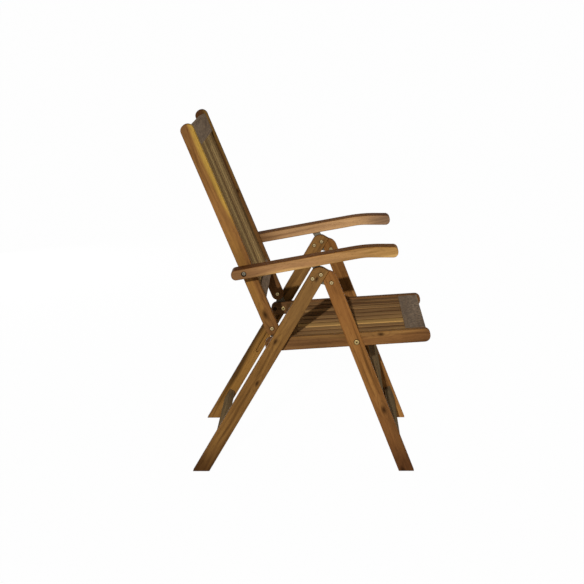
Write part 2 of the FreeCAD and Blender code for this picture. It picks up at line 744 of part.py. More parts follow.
print(f"{len(pieces)} pieces, {whole.XLength:.1f} x {whole.YLength:.1f} x {whole.ZLength:.1f} mm")
for label, point in (("leg hinge", leg_hinge), ("seat pivot", seat_pivot), ("slide pin", slide_rest),
                     ("back hinge", back_hinge), ("arm pivot", arm_pivot), ("catch pin", catch)):
    print(f"{label}: y {shift.y - point[0]:.3f}, z {shift.z + point[1]:.3f}")
print(f"seat slope {math.degrees(seat.angle):.3f}, arm slope {arm_slope:.3f}, fold {fold_range:.3f}")
print(f"folding turns the seat {seat_fold:.3f} and the back {back_fold:.3f}")
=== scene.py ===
# %% [markdown]
# # A folding garden armchair in oiled acacia
#
# The chair is a set of planed acacia bars: two pairs of legs, a slatted seat, a slatted back and two arms,
# held together by zinc-plated bolts and hinge plates. The solids arrive as a fixed frame, so this lesson is
# about the surface: grain that runs along each bar, slats that differ from one another, and metal. The frame
# could be remodelled in Blender, but the bars already have their true shape and place, so only the two rows
# of slats are made again here and everything else gets a finish.

# %% Load the frame
from math import cos, radians, sin, tau

import bpy
from mathutils import Matrix, Vector


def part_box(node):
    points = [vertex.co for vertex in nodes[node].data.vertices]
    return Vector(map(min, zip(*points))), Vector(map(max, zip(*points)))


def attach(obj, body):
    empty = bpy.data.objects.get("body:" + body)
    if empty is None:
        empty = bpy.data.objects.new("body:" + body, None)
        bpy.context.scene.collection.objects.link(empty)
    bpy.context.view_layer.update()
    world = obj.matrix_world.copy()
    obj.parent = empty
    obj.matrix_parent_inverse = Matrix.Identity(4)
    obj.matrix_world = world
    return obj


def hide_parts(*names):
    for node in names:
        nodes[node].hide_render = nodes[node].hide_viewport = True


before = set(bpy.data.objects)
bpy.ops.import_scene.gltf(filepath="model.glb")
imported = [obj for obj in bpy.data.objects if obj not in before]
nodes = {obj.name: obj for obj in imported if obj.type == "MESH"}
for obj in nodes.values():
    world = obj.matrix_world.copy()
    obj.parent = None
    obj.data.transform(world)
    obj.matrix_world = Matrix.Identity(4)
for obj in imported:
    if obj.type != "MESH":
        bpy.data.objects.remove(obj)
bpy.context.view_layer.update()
scene = bpy.context.scene
scene.view_settings.view_transform = "Standard"
MM = 0.001

# %% [markdown]
# ## Two helpers for every node tree
#
# Colours are picked as sRGB hex values, as on a paint chart, but shaders work in linear light. A colour could
# be typed in as three linear numbers, which nobody can read, so one function turns the hex value to linear.
# A second function adds any node with its settings and its links, so that each tree below reads as a list.

# %% Colour and node helpers
def linear(hex_colour):
    """An sRGB hex value as linear red, green, blue and alpha."""
    channels = [int(hex_colour[i:i + 2], 16) / 255 for i in (1, 3, 5)]
    return (*[c / 12.92 if c <= 0.04045 else ((c + 0.055) / 1.055) ** 2.4 for c in channels], 1.0)


def add(tree, kind, inputs=(), **settings):
    """Add a node and give its outputs. Inputs go by order or by name: sockets are linked, values are set."""
    made = tree.nodes.new(kind)
    for name, value in settings.items():
        setattr(made, name, value)
    for key, value in inputs.items() if isinstance(inputs, dict) else enumerate(inputs):
        for one in value if isinstance(value, list) else [value]:
            if isinstance(one, bpy.types.NodeSocket):
                tree.links.new(one, made.inputs[key])
            else:
                made.inputs[key].default_value = one
    return made.outputs


print("mid brown in linear light:", [round(c, 3) for c in linear("#825c35")])

# %% [markdown]
# ## Camera
#
# The chair is seen from its right side, a little from above, with a long lens, so that its bars stay nearly
# parallel. The camera could be aimed with a Track To constraint, but its own small roll would be lost. Here
# its direction comes from a pitch and a yaw, and the roll is one more turn about the chair's cross axis.

# %% Camera
IMAGE_SIDE = 584           # pixels
FOCAL_PIXELS = 1344.7      # the lens, in the picture's own pixels
SENSOR = 36.0
CAMERA_PLACE = (-4.136, -0.0602, 1.4452)
PITCH, YAW, ROLL = radians(12.92), radians(-1.432), radians(0.62)
camera = bpy.data.objects.new("camera", bpy.data.cameras.new("camera"))
scene.collection.objects.link(camera)
scene.camera = camera
camera.data.sensor_width = SENSOR
camera.data.lens = FOCAL_PIXELS / IMAGE_SIDE * SENSOR
camera.location = CAMERA_PLACE
ahead = Vector((cos(PITCH) * cos(YAW), -cos(PITCH) * sin(YAW), -sin(PITCH)))
aimed = Matrix.Rotation(ROLL, 3, "X") @ ahead.to_track_quat("-Z", "Y").to_matrix()
camera.rotation_euler = aimed.to_euler()
print("lens:", round(camera.data.lens, 1), "mm")

# %% [markdown]
# ## Backdrop
#
# A studio picture of garden furniture has a white backdrop. It could be had by pouring light on it, but then
# the wood would be bleached too. Instead the world shows white to the camera and to shiny metal only, and
# lights the wood at a plain level. A Light Path node tells the two kinds of rays apart.

# %% White backdrop
MATH, RANGE = "ShaderNodeMath", "ShaderNodeMapRange"
WHITE = linear("#ffffff")
WORLD_FILL = 0.065         # how much the backdrop lights the chair


def seen_directly(tree):
    """1 for rays from the camera, from shiny metal or through glass, and 0 for light that falls on wood."""
    path = add(tree, "ShaderNodeLightPath")
    shiny = add(tree, MATH, [path["Is Glossy Ray"], path["Is Transmission Ray"]], operation="MAXIMUM")
    return add(tree, MATH, [path["Is Camera Ray"], shiny[0]], operation="MAXIMUM")[0]


world = bpy.data.worlds.new("white_backdrop")
world.use_nodes = True
scene.world = world
tree = world.node_tree
tree.nodes.clear()
level = add(tree, RANGE, {"Value": seen_directly(tree), "To Min": WORLD_FILL, "To Max": 1.0})
backdrop = add(tree, "ShaderNodeBackground", {"Color": WHITE, "Strength": level[0]})
add(tree, "ShaderNodeOutputWorld", {"Surface": backdrop[0]})
print("world lights at", WORLD_FILL, "and shows white")

# %% [markdown]
# ## Floor
#
# The chair stands on matt white paper that keeps a trace of its shadow. The floor could be a plain white
# surface, but it would go grey wherever the light is weak. Here the paper glows white to the camera, as the
# backdrop does, and only a small share of it stays matt and takes the shadow.

# %% White paper floor
FLOOR_HALF = 150.0         # metres, so that the paper ends at the horizon
FLOOR_SHOWN_WHITE = 0.985  # the rest is matt paper


def empty_material(name):
    """A material with an empty node tree."""
    material = bpy.data.materials.new(name)
    material.use_nodes = True
    material.node_tree.nodes.clear()
    return material


paper = empty_material("white_paper")
tree = paper.node_tree
shown = add(tree, MATH, [seen_directly(tree), FLOOR_SHOWN_WHITE], operation="MULTIPLY")
matt = add(tree, "ShaderNodeBsdfDiffuse", {"Color": linear("#efedea")})
glow = add(tree, "ShaderNodeEmission", {"Color": WHITE, "Strength": 1.0})
mixed = add(tree, "ShaderNodeMixShader", [shown[0], matt[0], glow[0]])
add(tree, "ShaderNodeOutputMaterial", {"Surface": mixed[0]})

floor_mesh = bpy.data.meshes.new("floor")
corners = [(x * FLOOR_HALF, y * FLOOR_HALF, 0) for x, y in ((-1, -1), (1, -1), (1, 1), (-1, 1))]
floor_mesh.from_pydata(corners, [], [(0, 1, 2, 3)])
floor_mesh.materials.append(paper)
floor = bpy.data.objects.new("floor", floor_mesh)
scene.collection.objects.link(floor)
print("paper:", 2 * FLOOR_HALF, "m square")

# %% [markdown]
# ## Lamps
#
# A low key lamp beside the camera gives the long crisp shadows, a soft lamp in front of the chair brightens
# the slats of its back, and another behind keeps the far side from going black. A sky texture would light
# everything from above, which is not how a side view in a studio is lit, so three lamps are set one by one.

# %% Lamps
KEY_TRAVEL = Vector((1.0, -0.1, -0.384))
KEY_LEVEL = 2.25
KEY_ANGLE = radians(0.9)   # a small lamp far away
FRONT_WATTS, REAR_WATTS = 28, 45


def lamp(name, kind, place, travel, **settings):
    """A lamp at a place, shining along travel."""
    data = bpy.data.lights.new(name, kind)
    for key, value in settings.items():
        setattr(data, key, value)
    made = bpy.data.objects.new(name, data)
    scene.collection.objects.link(made)
    made.location = place
    made.visible_camera = False
    made.rotation_euler = Vector(travel).to_track_quat("-Z", "Y").to_euler()


lamp("key", "SUN", (-5, 0.4, 2.4), KEY_TRAVEL, energy=KEY_LEVEL, angle=KEY_ANGLE)
lamp("front_fill", "AREA", (-0.9, -3.2, 0.95), (0.25, 0.95, -0.03), energy=FRONT_WATTS,
     shape="DISK", size=1.8)
lamp("rear_fill", "AREA", (3.0, 2.0, 0.7), (-0.82, -0.57, -0.02), energy=REAR_WATTS,
     shape="DISK", size=1.3)

# %% [markdown]
# ## Oiled acacia: the grain
#
# The fibres of a bar run along it and sway a little, because no trunk is straight. They could be painted from
# a picture of wood, but then the grain would stop at each edge of a bar. Solid noise in the bar's own
# directions runs through the whole bar, round its edges and out of its ends, as the tree grew it. A Mapping
# node turns Object coordinates until their second axis lies along the bar, and each noise is drawn out along
# that axis.

# %% Grain along a bar
VECTOR = "ShaderNodeVectorMath"
SWAY_WIDTH = 90 * MM       # one sway of the grain across the bar
SWAY = 30 * MM             # how far it goes from side to side, at most


def grain(tree, where, width, stretch, detail, seed):
    """Noise of this width across the bar, drawn out along it."""
    drawn_out = add(tree, VECTOR, [where, (1 / width, 1 / width / stretch, 1 / width)], operation="MULTIPLY")
    return add(tree, "ShaderNodeTexNoise", {"Vector": drawn_out[0], "W": seed, "Scale": 1.0, "Detail": detail,
                                            "Roughness": 0.55}, noise_dimensions="4D")


def lay_out(tree, turn, origin, seed):
    """Where a point is on its bar, straight and along the swaying grain, and which way it faces there."""
    coords = add(tree, "ShaderNodeTexCoord")
    place = add(tree, "ShaderNodeMapping", {"Vector": coords["Object"], "Location": origin, "Rotation": turn},
                vector_type="TEXTURE")[0]
    facing = add(tree, "ShaderNodeMapping", {"Vector": coords["Normal"], "Rotation": turn},
                 vector_type="TEXTURE")[0]
    sway = grain(tree, place, SWAY_WIDTH, stretch=3, detail=1, seed=seed + 7)["Color"]
    sway = add(tree, VECTOR, [sway, (0.5, 0.5, 0.5)], operation="SUBTRACT")[0]
    path = add(tree, VECTOR, [sway, (SWAY, SWAY, SWAY), place], operation="MULTIPLY_ADD")[0]
    return place, path, add(tree, "ShaderNodeSeparateXYZ", [facing])


print("the grain sways over", SWAY / MM, "mm")

# %% [markdown]
# ## Oiled acacia: knots and bolts
#
# A knot is the foot of a branch: a dark heart with the growth lines pushed round it. Round each bolt a dark
# rim of painted shade lies where the head meets the wood. Both could be painted by hand on an unwrapped bar.
# Here each is a distance from a point or from a line, so that it also shows on the faces that a flat picture
# would miss.

# %% Knots and bolt rims
MIX, SHARE, BASE, TINT, MIXED = "ShaderNodeMix", 0, 6, 7, 2   # a Mix node and its sockets for colours
RGBA = {"data_type": "RGBA"}
SMOOTH = {"interpolation_type": "SMOOTHSTEP"}
KNOT_STRETCH = (0.4, 0.5, 1.0)   # a knot reaches into the bar and is longer along the grain
KNOT_PUSH = 0.35           # how far a knot pushes the growth lines
PUSH_REACH, HEART_REACH = 4, 1.4   # in radii of the knot
# the rim round a bolt's head is painted shade
RIM_SHADE_DARK, RIM_SHARE = "#1d1208", 0.85
RIM_FULL, RIM_FADED = 0.8 * MM, 2.2 * MM   # from the edge of a bolt's head


def distance(tree, place, centre, stretch):
    """How far a point is from a centre, with each direction weighted."""
    apart = add(tree, VECTOR, [place, centre], operation="SUBTRACT")[0]
    apart = add(tree, VECTOR, [apart, stretch], operation="MULTIPLY")[0]
    return add(tree, VECTOR, [apart], operation="LENGTH")["Value"]


def grow_knots(tree, place, knots):
    """How far knots, as (x, along, across, radius), push the growth lines, and how dark their hearts are."""
    push = heart = 0.0
    for x, u, v, radius in knots:
        apart = distance(tree, place, (x * MM, u * MM, v * MM), KNOT_STRETCH)
        pushed = add(tree, RANGE, [apart, 0.0, PUSH_REACH * radius * MM, KNOT_PUSH, 0.0], **SMOOTH)[0]
        push = add(tree, MATH, [push, pushed], operation="ADD")[0]
        dark = add(tree, RANGE, [apart, 0.0, HEART_REACH * radius * MM, 1.0, 0.0], **SMOOTH)[0]
        heart = add(tree, MATH, [heart, dark], operation="MAXIMUM")[0]
    return push, heart


def rim_bolts(tree, place, colour, bolts):
    """A dark rim of painted shade round each bolt on a bar."""
    for u, v, radius in bolts:
        apart = distance(tree, place, (0, u, v), (0, 1, 1))
        rim = add(tree, RANGE, [apart, radius + RIM_FULL, radius + RIM_FADED, RIM_SHARE, 0.0], **SMOOTH)[0]
        colour = add(tree, MIX, {SHARE: rim, BASE: colour, TINT: linear(RIM_SHADE_DARK)}, **RGBA)[MIXED]
    return colour


print("oil rim:", round(RIM_FADED / MM, 1), "mm round a bolt")

# %% [markdown]
# ## Oiled acacia: colour zones
#
# A bar is sawn where the trunk allows: gold sapwood may run along one edge, dark heartwood may fill an end,
# and the feet of some legs are darker; a few zones are painted shadow. A single gradient along the bar would
# be too even. Each zone is a soft box in the bar's own millimetres that follows the swaying grain and keeps
# the streaks of the wood.

# %% Colour zones
BORDER = 6 * MM            # softness of a zone across the bar
FADE = 70 * MM             # and along it
ALL = (-90, 90)            # the whole width of any bar
STREAK_GAIN, STREAK_BASE = 0.9, 0.5   # the wood's own light and dark, kept inside a zone


def colour_zones(tree, path, colour, value, zones):
    """Zones as (tint, strength on the right bar, on the left bar, along from, to, across from, to)."""
    at = add(tree, "ShaderNodeSeparateXYZ", [path])
    shade = add(tree, MATH, [value, STREAK_GAIN, STREAK_BASE], operation="MULTIPLY_ADD")[0]
    for tint, right, left, u_from, u_to, v_from, v_to in zones:
        mask = add(tree, RANGE, [at["X"], -BORDER, BORDER, right, left], **SMOOTH)[0]
        for axis, edge, soft, inside in (("Y", u_from, FADE, 1), ("Y", u_to, FADE, 0),
                                         ("Z", v_from, BORDER, 1), ("Z", v_to, BORDER, 0)):
            low, high = edge * MM - soft, edge * MM + soft
            side = add(tree, RANGE, [at[axis], low, high, 1 - inside, inside], **SMOOTH)[0]
            mask = add(tree, MATH, [mask, side], operation="MULTIPLY")[0]
        tinted = add(tree, VECTOR, {0: linear(tint)[:3], "Scale": shade}, operation="SCALE")[0]
        colour = add(tree, MIX, {SHARE: mask, BASE: colour, TINT: tinted}, **RGBA)[MIXED]
    return colour


print("zones fade over", 2 * FADE / MM, "mm along a bar")

# %% [markdown]
# ## Oiled acacia: wear and painted shade
#
# End grain soaks up oil and goes dark, and handled edges are rubbed lighter and smoother. Faces that look up
# or sideways can also be darkened with painted shade. Vertex paint could mark all that, but the way a face
# looks in its bar's directions already tells ends, edges and tops apart.

# %% Ends, edges and tops
DARKEN = {**RGBA, "blend_type": "MULTIPLY"}
END_BROWN, END_SHARE = "#8a6a4c", 0.5
EDGE_GOLD, EDGE_SHARE = "#e0c090", 0.3
END_FROM, END_FULL = 0.55, 0.9       # how squarely an end looks along its bar
FACE_FROM, FACE_FULL = 0.5, 0.9      # how squarely a face looks up or sideways
EDGE_FULL, EDGE_GONE = 0.78, 0.985   # how squarely an edge looks in any direction
RUB_FROM, RUB_FULL, RUB_LEAST = 0.35, 0.6, 0.4   # edges are rubbed most on light streaks


def wear_and_shade(tree, facing, streak, colour, top, sides):
    """Darker ends, rubbed edges, and painted shade on tops and sides. Gives the colour and how rubbed a point
    is.
    """
    ends = add(tree, MATH, [facing["Y"]], operation="ABSOLUTE")[0]
    ends = add(tree, RANGE, [ends, END_FROM, END_FULL, 0.0, 1.0], **SMOOTH)[0]
    dark = add(tree, MATH, [ends, END_SHARE], operation="MULTIPLY")[0]
    colour = add(tree, MIX, {SHARE: dark, BASE: colour, TINT: linear(END_BROWN)}, **DARKEN)[MIXED]
    across = add(tree, MATH, [facing["X"]], operation="ABSOLUTE")[0]
    # painted shade on faces that look up or sideways
    for towards, (tint, strength) in ((facing["Z"], top), (across, sides)):
        mask = add(tree, RANGE, [towards, FACE_FROM, FACE_FULL, 0.0, strength], **SMOOTH)[0]
        colour = add(tree, MIX, {SHARE: mask, BASE: colour, TINT: linear(tint)}, **DARKEN)[MIXED]
    flat = add(tree, MATH, [facing["Z"]], operation="ABSOLUTE")[0]
    for other in (across, ends):
        flat = add(tree, MATH, [flat, other], operation="MAXIMUM")[0]
    rubbed = add(tree, RANGE, [flat, EDGE_FULL, EDGE_GONE, 1.0, 0.0], **SMOOTH)[0]
    patchy = add(tree, RANGE, [streak, RUB_FROM, RUB_FULL, RUB_LEAST, 1.0], **SMOOTH)[0]
    rubbed = add(tree, MATH, [rubbed, patchy], operation="MULTIPLY")[0]
    light = add(tree, MATH, [rubbed, EDGE_SHARE], operation="MULTIPLY")[0]
    colour = add(tree, MIX, {SHARE: light, BASE: colour, TINT: linear(EDGE_GOLD)},
                 blend_type="SOFT_LIGHT", **RGBA)[MIXED]
    return colour, rubbed


print("end grain darkens by a share of", END_SHARE, "and edges lighten by", EDGE_SHARE)

# %% [markdown]
# ## Oiled acacia: the figure
#
# Acacia is a strongly figured wood: dark growth lines that close into flames, colour streaks, fibres, and
# pores like short pencil strokes. A Wave texture could draw the lines, but they would be evenly spaced. Here
# they are the contour lines of a slow noise, as on a map, so that they crowd, part and bend round a knot.
# Each mark is about as wide as on a real bar, apart from the finest two, which are drawn coarser to show.

# %% Lines, streaks, fibres, pores and clouds
FLAME_WIDTH = 26 * MM      # a flame of growth lines across the bar
GROWTH_LINES = 4.5         # contour lines from the lowest to the highest point of a flame
STREAK_WIDTH = 8 * MM      # colour streaks
FIBRE_WIDTH = 1.6 * MM     # fibres, coarser than the real 0.3 mm so that they show
PORE_WIDTH = 1.2 * MM      # pores, also drawn coarse
PORE_FROM, PORE_FULL = 0.6, 0.72   # only the peaks of the noise are pores
CLOUD_WIDTH = 60 * MM      # slow changes of tone from one stretch of a bar to the next


def figure(tree, place, path, push, seed):
    """The marks of the wood: growth lines, streaks, fibres, pores and clouds."""
    flame = grain(tree, path, FLAME_WIDTH, stretch=18, detail=1.5, seed=seed)[0]
    flame = add(tree, MATH, [flame, push], operation="ADD")[0]
    wave = add(tree, MATH, [flame, GROWTH_LINES * tau], operation="MULTIPLY")[0]
    wave = add(tree, MATH, [wave], operation="SINE")[0]
    lines = add(tree, RANGE, [wave, 0.0, 1.0, 0.0, 1.0], **SMOOTH)[0]
    streak = grain(tree, path, STREAK_WIDTH, stretch=26, detail=3, seed=seed + 2)[0]
    fibre = grain(tree, path, FIBRE_WIDTH, stretch=30, detail=2, seed=seed + 4)[0]
    pore = grain(tree, path, PORE_WIDTH, stretch=16, detail=1, seed=seed + 5)[0]
    pore = add(tree, RANGE, [pore, PORE_FROM, PORE_FULL, 0.0, 1.0], **SMOOTH)[0]
    cloud = grain(tree, place, CLOUD_WIDTH, stretch=5, detail=1, seed=seed + 9)[0]
    return lines, streak, fibre, pore, cloud


print("figure from", PORE_WIDTH / MM, "to", CLOUD_WIDTH / MM, "mm wide")

# %% [markdown]
# ## Oiled acacia: dark marks and touch
#
# Some planks are mottled with grey, pores hold dark oil, and the hearts of knots are nearly black. To the
# hand, planed acacia is satin: fibres stand up a little, pores are dips, and rubbed edges are smoother. One
# fixed roughness would be simpler, but then the light would slide over the wood as over plastic.

# %% Mottling, pores and hearts, roughness and bump
MOTTLE_SIZE = 8 * MM
MOTTLE_FROM, MOTTLE_FULL, MOTTLE_LEAST = 0.35, 0.65, 0.2
PORE_BROWN, PORE_SHARE = "#6b4c30", 0.5
HEART_BROWN, HEART_SHARE = "#2c190c", 0.9
ROUGH, STREAK_ROUGH, RUBBED_ROUGH = 0.5, 0.2, -0.08
PORE_DIP = -1.5            # against fibres of height 1
BUMP_SHARE, BUMP_HEIGHT = 0.3, 0.06 * MM


def dark_marks(tree, place, colour, mottle, pore, heart, fine):
    """Mottling, pores and hearts of knots over the browns."""
    tint, strength = mottle
    spots = add(tree, "ShaderNodeTexNoise", {"Vector": place, "Scale": 1 / MOTTLE_SIZE, "Detail": 3.0})[0]
    least = MOTTLE_LEAST * strength
    spots = add(tree, RANGE, [spots, MOTTLE_FROM, MOTTLE_FULL, least, strength], **SMOOTH)[0]
    colour = add(tree, MIX, {SHARE: spots, BASE: colour, TINT: linear(tint)}, **RGBA)[MIXED]
    dots = add(tree, MATH, [pore, PORE_SHARE * fine], operation="MULTIPLY")[0]
    colour = add(tree, MIX, {SHARE: dots, BASE: colour, TINT: linear(PORE_BROWN)}, **DARKEN)[MIXED]
    heart = add(tree, MATH, [heart, HEART_SHARE], operation="MULTIPLY")[0]
    return add(tree, MIX, {SHARE: heart, BASE: colour, TINT: linear(HEART_BROWN)}, **RGBA)[MIXED]


def touch(tree, streak, fibre, pore, rubbed, fine):
    """How rough the wood is, and its bump."""
    rough = add(tree, MATH, [streak, STREAK_ROUGH, ROUGH], operation="MULTIPLY_ADD")[0]
    rough = add(tree, MATH, [rubbed, RUBBED_ROUGH, rough], operation="MULTIPLY_ADD")[0]
    height = add(tree, MATH, [pore, PORE_DIP, fibre], operation="MULTIPLY_ADD")[0]
    bump = add(tree, "ShaderNodeBump", {"Height": height, "Strength": BUMP_SHARE * fine,
                                        "Distance": BUMP_HEIGHT})[0]
    return rough, bump


print("mottling:", MOTTLE_SIZE / MM, "mm, roughness from", ROUGH + RUBBED_ROUGH, "to", ROUGH + STREAK_ROUGH)

# %% [markdown]
# ## Oiled acacia: one wood
#
# Streaks, fibres, clouds and growth lines add up to one value, and a colour ramp turns it to three browns.
# Separate colours for each pattern would be easier to tune, but they would look like stains on the wood. One
# ramp keeps every mark in the colours of the same tree. Zones, dark marks, wear and painted shade are then
# laid over it.

# %% A wood for a bar
PLAIN = ("#ffffff", 0.0)   # no mottling or painted shade
SATIN = 0.01               # oil that has dried in leaves little shine on planed bars
WOOD_IOR = 1.5
MIDDLE_VALUE = 0.53
DARK_AT, MID_AT, LIGHT_AT = 0.18, 0.48, 0.84
FIBRE_SHARE, CLOUD_SHARE, LINE_SHARE = 0.3, 0.6, -0.12
PALE_FROM, PALE_FULL = 0.8, 0.92   # the palest slats get no painted shade on their sides


def brown(tree, value, dark, mid, light):
    """Three browns for a value from dark to light."""
    shades = add(tree, "ShaderNodeValToRGB", [value])[0]
    stops = shades.node.color_ramp.elements
    stops[0].position, stops[0].color = DARK_AT, linear(dark)
    stops[1].position, stops[1].color = LIGHT_AT, linear(light)
    stops.new(MID_AT).color = linear(mid)
    return shades


def acacia(name, turn, origin, browns, seed, zones=(), knots=(), bolts=(), streaks=0.9, tone_by_slat=0.0,
           mottle=PLAIN, top=PLAIN, sides=PLAIN, fine=1.0, satin=0.0):
    """Oiled acacia for bars that are turned like this and counted from this origin.

    Streaks, tone_by_slat and fine say how much these marks show. Mottle is a tint and its strength; top and
    sides are each a tint and strength of painted shade.
    """
    material = empty_material(name)
    tree = material.node_tree
    place, path, facing = lay_out(tree, turn, origin, seed)
    push, heart = grow_knots(tree, place, knots)
    lines, streak, fibre, pore, cloud = figure(tree, place, path, push, seed)
    slat = add(tree, "ShaderNodeAttribute", attribute_name="slat_tone")["Fac"]

    value = MIDDLE_VALUE
    for pattern, middle, share in ((streak, 0.5, streaks), (fibre, 0.5, FIBRE_SHARE * fine),
                                   (cloud, 0.5, CLOUD_SHARE), (lines, 0.0, LINE_SHARE * fine),
                                   (slat, 0.5, tone_by_slat)):
        if share:
            pattern = add(tree, MATH, [pattern, middle], operation="SUBTRACT")[0]
            value = add(tree, MATH, [pattern, share, value], operation="MULTIPLY_ADD")[0]
    colour = colour_zones(tree, path, brown(tree, value, *browns), value, zones)
    colour = dark_marks(tree, place, colour, mottle, pore, heart, fine)
    colour = rim_bolts(tree, place, colour, bolts)
    # painted shade on the sides, none on the palest slats
    side_shade_share = add(tree, RANGE, [slat, PALE_FROM, PALE_FULL, sides[1], 0.0], **SMOOTH)[0]
    colour, rubbed = wear_and_shade(tree, facing, streak, colour, top, (sides[0], side_shade_share))
    rough, bump = touch(tree, streak, fibre, pore, rubbed, fine)
    wood = add(tree, "ShaderNodeBsdfPrincipled", {"Base Color": colour, "Roughness": rough, "Normal": bump,
                                                  "IOR": WOOD_IOR, "Specular IOR Level": satin})[0]
    add(tree, "ShaderNodeOutputMaterial", {"Surface": wood})
    print(name, "nodes:", len(tree.nodes))
    return material


# %% [markdown]
# ## Where the bars and the bolts are
#
# Legs, seat, back and arms lie in the chair's side plane, each at its own angle, and boards run across it.
# Places on a bar are counted from its lower or front end and from its middle line. The places of the bolts
# could be typed in, but then the rims would miss the bolts if a size of the chair changed, so they are
# measured on the frame.

# %% Bars and bolts
# how far each kind of bar leans, in degrees from level, rearwards and up
REAR_LEG, FRONT_LEG, SEAT, BACK, ARM = 120.6, 69.0, -3.43, 68.1, -10.04
BOLT_REACH = 16 * MM       # a bolt's points are nearer than this to one another


def along_bar(points, lean):
    """Points turned into a bar's own directions: the second axis lies along it."""
    turn = Matrix.Rotation(-radians(lean), 3, "X")
    return [turn @ p for p in points]


def bar_origin(node, lean):
    """The middle of a bar's lower or front end, at the chair's middle."""
    points = along_bar([v.co for v in nodes[node].data.vertices], lean)
    middle = (min(p.z for p in points) + max(p.z for p in points)) / 2
    return Matrix.Rotation(radians(lean), 3, "X") @ Vector((0, min(p.y for p in points), middle))


def bolts_on(node, lean, origin):
    """The bolts of a node on the sitter's right as (along, across, head radius) on a bar."""
    found = []
    rest = [v.co for v in nodes[node].data.vertices if v.co.x < 0]
    while rest:
        near = [p for p in rest if (p - rest[0]).yz.length < BOLT_REACH]
        rest = [p for p in rest if (p - rest[0]).yz.length >= BOLT_REACH]
        low, high = [Vector((0, f(p.y for p in near), f(p.z for p in near))) for f in (min, max)]
        on_bar = along_bar([(low + high) / 2 - origin], lean)[0]
        found.append((on_bar.y, on_bar.z, (high.z - low.z) / 2))
    return found


leans = {"rear_leg": REAR_LEG, "front_leg": FRONT_LEG, "seat_rail": SEAT, "back_stile": BACK, "armrest": ARM}
bolted = {"rear_leg": ["leg_plate_bolts"], "front_leg": ["leg_hinge_bolts", "seat_pivot_bolts"],
          "seat_rail": ["back_plate_bolts"], "back_stile": ["back_hinge_bolts"],
          "armrest": ["arm_bolt_right"]}
origins = {bar: bar_origin(bar + "_right", lean) for bar, lean in leans.items()}
bolts = {bar: [b for name in names for b in bolts_on(name, leans[bar], origins[bar])]
         for bar, names in bolted.items()}
for bar in bolts:
    print(bar, [tuple(round(b / MM, 1) for b in bolt) for bolt in bolts[bar]])

# %% [markdown]
# ## The wood of the legs
#
# The bars were sawn from different boards, so each kind of bar has its own browns, zones and knots. One wood
# for all of them would be quicker, but the grain has to turn with each bar anyway. The legs are brown, the
# front pair redder than the rear one. The right legs have dark feet, and the left ones painted shadow along
# their rear edges.

# %% Browns, zones and knots of the legs
BELOW, BEYOND = -200, 900  # millimetres past the ends of any bar
LEG_FACE, LEG_MIDDLE = 272, 259    # millimetres from the chair's middle, minus on the sitter's right
marks = {
    "rear_leg": dict(
        browns=("#563a1c", "#7d582e", "#9c733b"), seed=1.0,
        knots=[(-LEG_FACE, 709, 2, 5), (-LEG_FACE, 482, -8, 6), (-LEG_FACE, 342, 9, 5)],
        zones=[("#4a2f17", 0.9, 0.0, BELOW, 80, *ALL),         # right: dark foot
               ("#876338", 0.8, 0.3, 520, BEYOND, *ALL),       # both: paler top
               ("#8a6233", 0.5, 0.0, 250, 560, -90, -5),       # right: paler rear edge
               ("#9a6f35", 0.0, 0.6, 60, 380, *ALL),           # left: golden lower half
               ("#3f2a14", 0.0, 0.85, 120, 560, -90, -8)]),    # left: painted shadow along the rear edge
    "front_leg": dict(
        browns=("#694522", "#976736", "#b18347"), seed=2.0,
        knots=[(-LEG_FACE, 215, 5, 8), (LEG_MIDDLE, 134, -4, 4), (-LEG_FACE, 14, -9, 8)],
        zones=[("#784e2a", 0.8, 0.0, BELOW, 240, *ALL),        # right: redder lower part
               ("#57361d", 0.95, 0.0, BELOW, 90, *ALL),        # right: dark foot
               ("#6f4a28", 0.6, 0.6, 90, 260, 4, 90),          # both: darker front edge above the foot
               ("#8d5d31", 0.7, 0.0, 470, 720, *ALL),          # right: redder top
               ("#6b4522", 0.0, 0.6, 480, 720, *ALL),          # left: darker top
               ("#3d2814", 0.0, 0.85, BELOW, 400, -90, -6)]),  # left: painted shadow along the rear edge
}
print("leg knots:", sum(len(mark["knots"]) for mark in marks.values()))

# %% [markdown]
# ## The wood of the seat, the back and the arms
#
# The seat's rails are dark with paler upper edges, the stiles have gold sapwood along their front edges, and
# the arms are the palest bars, with painted shade on their tops. They could take the legs' wood, but each has
# streaks and ends of its own, so each gets its own list.

